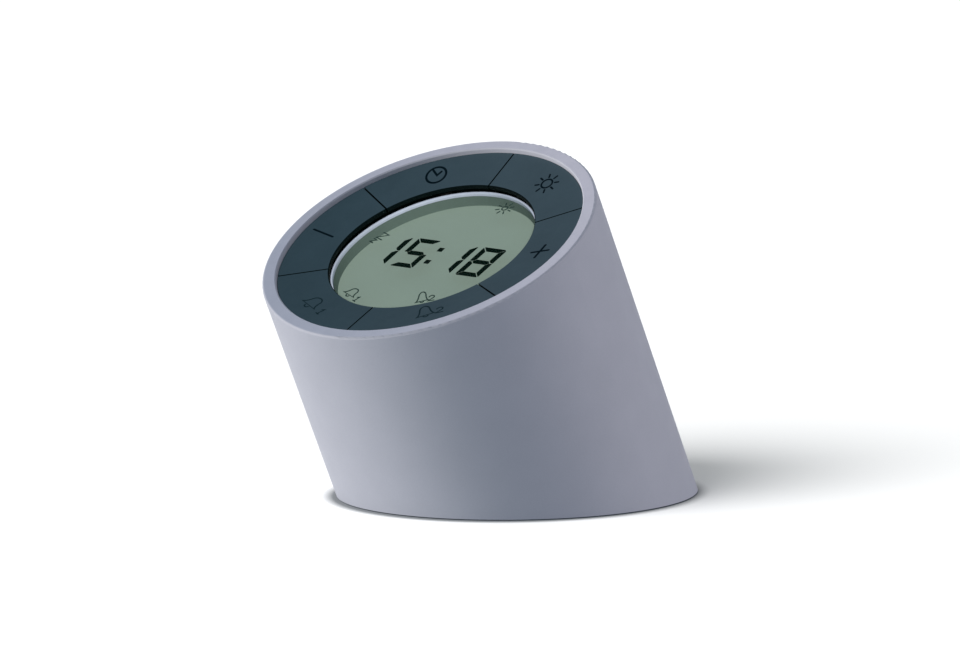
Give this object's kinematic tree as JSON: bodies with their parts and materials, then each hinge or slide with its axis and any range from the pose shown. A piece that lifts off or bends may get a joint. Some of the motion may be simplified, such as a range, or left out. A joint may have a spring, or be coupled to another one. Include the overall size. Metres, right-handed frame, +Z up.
{
  "type": "alarm clock",
  "caption": "Bedside alarm clock: a leaning cylinder cut flat at its foot, with a ring of push keys round a sunken LCD and a lamp behind an opal base.",
  "frame": {"origin": "on the ground, under the middle of the clock's outline seen from above", "axes": "+Z up; -Y towards the user, whom the display faces; +X to the right of a user who faces the display"},
  "size_m": [0.09, 0.1296, 0.0924],
  "materials": {
    "lilac_shell": "soft-touch matt lilac grey",
    "black_plastic": "matt moulded",
    "collar_lilac": "satin moulded",
    "clear_window": "clear flat window",
    "lcd_green": "grey-green reflective display under a matt polariser",
    "clear_acrylic": "polished acrylic",
    "white_plastic": "matt moulded",
    "pale_plastic": "matt moulded",
    "silicone": "soft layered silicone",
    "led_white": "cast resin",
    "led_warm": "cast resin over phosphor",
    "board_green": "solder mask over glass laminate",
    "board_white": "white solder mask",
    "chip_black": "moulded epoxy",
    "screw_steel": "zinc-plated",
    "tin_can": "drawn and plated",
    "gold_ball": "gold-plated",
    "opal_plastic": "opal, finely frosted",
    "cell_wrap": "shrink film",
    "nickel": "nickel strip",
    "lead_red": "silicone insulation",
    "lead_grey": "silicone insulation",
    "lead_white": "silicone insulation",
    "key_slate": "soft-touch matt slate",
    "plunger_cream": "matt moulded",
    "foot_silicone": "soft silicone"
  },
  "bodies": {
    "clock_body": {"casing": "lilac_shell", "key_frame": "black_plastic", "display_bezel": "collar_lilac", "display_window": "clear_window", "lcd_cell": "lcd_green", "light_guide": "clear_acrylic", "reflector_sheet": "white_plastic", "lcd_holder": "pale_plastic", "zebra_strips": "silicone", "backlight_leds": "led_white", "display_board": "board_green", "display_chips": "chip_black", "display_sockets": "pale_plastic", "switch_bodies": "black_plastic", "board_screws": "screw_steel", "frame_screws": "screw_steel", "buzzer": "black_plastic", "tilt_switch_can": "tin_can", "tilt_switch_header": "black_plastic", "light_tray": "white_plastic", "tray_screws": "screw_steel", "led_board": "board_white", "base_leds": "led_warm", "led_board_screws": "screw_steel", "diffuser": "opal_plastic", "foot_front_left": "foot_silicone", "foot_front_right": "foot_silicone", "foot_rear_left": "foot_silicone", "foot_rear_right": "foot_silicone", "battery_cell": "cell_wrap", "cell_tabs": "nickel", "cell_cradle": "pale_plastic", "cradle_screws": "screw_steel", "charge_board": "board_green", "charge_chips": "chip_black", "charge_sockets": "pale_plastic", "charge_board_screws": "screw_steel", "usb_shell": "tin_can", "usb_tongue": "black_plastic", "battery_leads": "lead_red", "display_leads": "lead_grey", "lamp_leads": "lead_white", "lead_plugs": "pale_plastic"},
    "clock_button": {"key_clock": "key_slate", "plunger_clock": "plunger_cream"},
    "sun_button": {"key_sun": "key_slate", "plunger_sun": "plunger_cream"},
    "plus_button": {"key_plus": "key_slate", "plunger_plus": "plunger_cream"},
    "bell_two_button": {"key_bell_two": "key_slate", "plunger_bell_two": "plunger_cream"},
    "bell_one_button": {"key_bell_one": "key_slate", "plunger_bell_one": "plunger_cream"},
    "minus_button": {"key_minus": "key_slate", "plunger_minus": "plunger_cream"},
    "switch_ball": {"tilt_ball": "gold_ball"}
  },
  "joints": [
    {"name": "clock_press", "type": "slide", "parent": "clock_body", "child": "clock_button", "axis": [0, 0.4848, -0.8746], "range_m": [0, 0.0006], "stiffness_N_per_m": 800},
    {"name": "sun_press", "type": "slide", "parent": "clock_body", "child": "sun_button", "axis": [0, 0.4848, -0.8746], "range_m": [0, 0.0006], "stiffness_N_per_m": 800},
    {"name": "plus_press", "type": "slide", "parent": "clock_body", "child": "plus_button", "axis": [0, 0.4848, -0.8746], "range_m": [0, 0.0006], "stiffness_N_per_m": 800},
    {"name": "bell_two_press", "type": "slide", "parent": "clock_body", "child": "bell_two_button", "axis": [0, 0.4848, -0.8746], "range_m": [0, 0.0006], "stiffness_N_per_m": 800},
    {"name": "bell_one_press", "type": "slide", "parent": "clock_body", "child": "bell_one_button", "axis": [0, 0.4848, -0.8746], "range_m": [0, 0.0006], "stiffness_N_per_m": 800},
    {"name": "minus_press", "type": "slide", "parent": "clock_body", "child": "minus_button", "axis": [0, 0.4848, -0.8746], "range_m": [0, 0.0006], "stiffness_N_per_m": 800},
    {"name": "ball_slide", "type": "slide", "parent": "clock_body", "child": "switch_ball", "axis": [0, -0.4848, 0.8746], "range_m": [0, 0.0028]}
  ]
}
